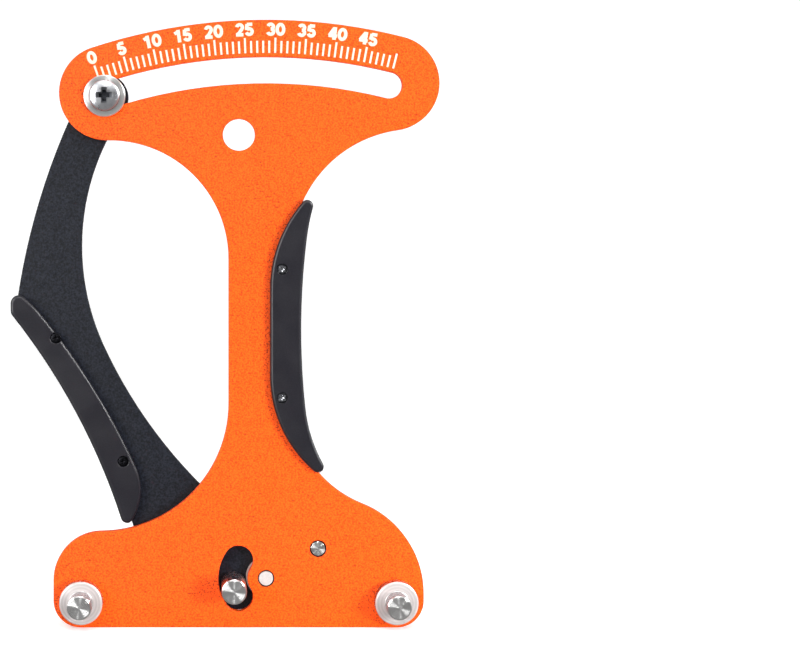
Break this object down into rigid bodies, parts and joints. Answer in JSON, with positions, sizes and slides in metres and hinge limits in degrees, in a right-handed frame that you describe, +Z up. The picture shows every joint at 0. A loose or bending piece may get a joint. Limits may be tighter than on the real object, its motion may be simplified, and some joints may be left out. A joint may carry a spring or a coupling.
{
  "type": "spoke tension meter",
  "caption": "Hand-held spoke tension meter: a flat scale plate with an arc slot and fixed posts, and a sprung lever that carries the middle post and the pointer.",
  "frame": {"origin": "middle of the whole meter in X and Y, at the lower edge of the plate's foot", "axes": "+Z up the plate from the foot to the scale, +X to the right as the scale is read, the scale faces -Y"},
  "size_m": [0.1526, 0.035, 0.2157],
  "materials": {
    "orange_coat": "fine-textured orange powder coat",
    "black_coat": "fine-textured black powder coat",
    "grip_plastic": "matte moulded",
    "turned_steel": "turned, bright",
    "pin_steel": "ground flat",
    "plated_screw": "zinc plated",
    "black_screw": "black oxide",
    "spring_steel": "drawn wire, nickel plated",
    "bronze": "sintered bronze",
    "nylon": "natural nylon"
  },
  "bodies": {
    "plate": {"scale_plate": "orange_coat", "left_post": "turned_steel", "right_post": "turned_steel", "left_post_screw": "plated_screw", "right_post_screw": "plated_screw", "pivot_pin": "pin_steel", "thrust_washer": "nylon", "spring_sleeve": "nylon", "retaining_washer": "plated_screw", "retaining_ring": "spring_steel", "spring_post": "turned_steel", "plate_grip_front": "grip_plastic", "plate_grip_back": "grip_plastic", "plate_grip_screws": "plated_screw", "torsion_spring": "spring_steel"},
    "lever": {"lever_arm": "black_coat", "pivot_bushing": "bronze", "middle_post": "turned_steel", "middle_post_screw": "plated_screw", "spring_pin": "turned_steel", "pointer_bush": "turned_steel", "pointer_screw": "plated_screw", "pointer_nut": "plated_screw", "lever_grip_front": "grip_plastic", "lever_grip_back": "grip_plastic", "lever_grip_screws": "black_screw"}
  },
  "joints": [
    {"name": "lever_pivot", "type": "hinge", "parent": "plate", "child": "lever", "pos_m": [0.01464, 0.00002, 0.0174], "axis": [0, 1, 0], "range_deg": [0, 32.5], "stiffness_Nm_per_rad": 1.4, "springref_deg": -14.32, "deforming": ["torsion_spring"]}
  ]
}
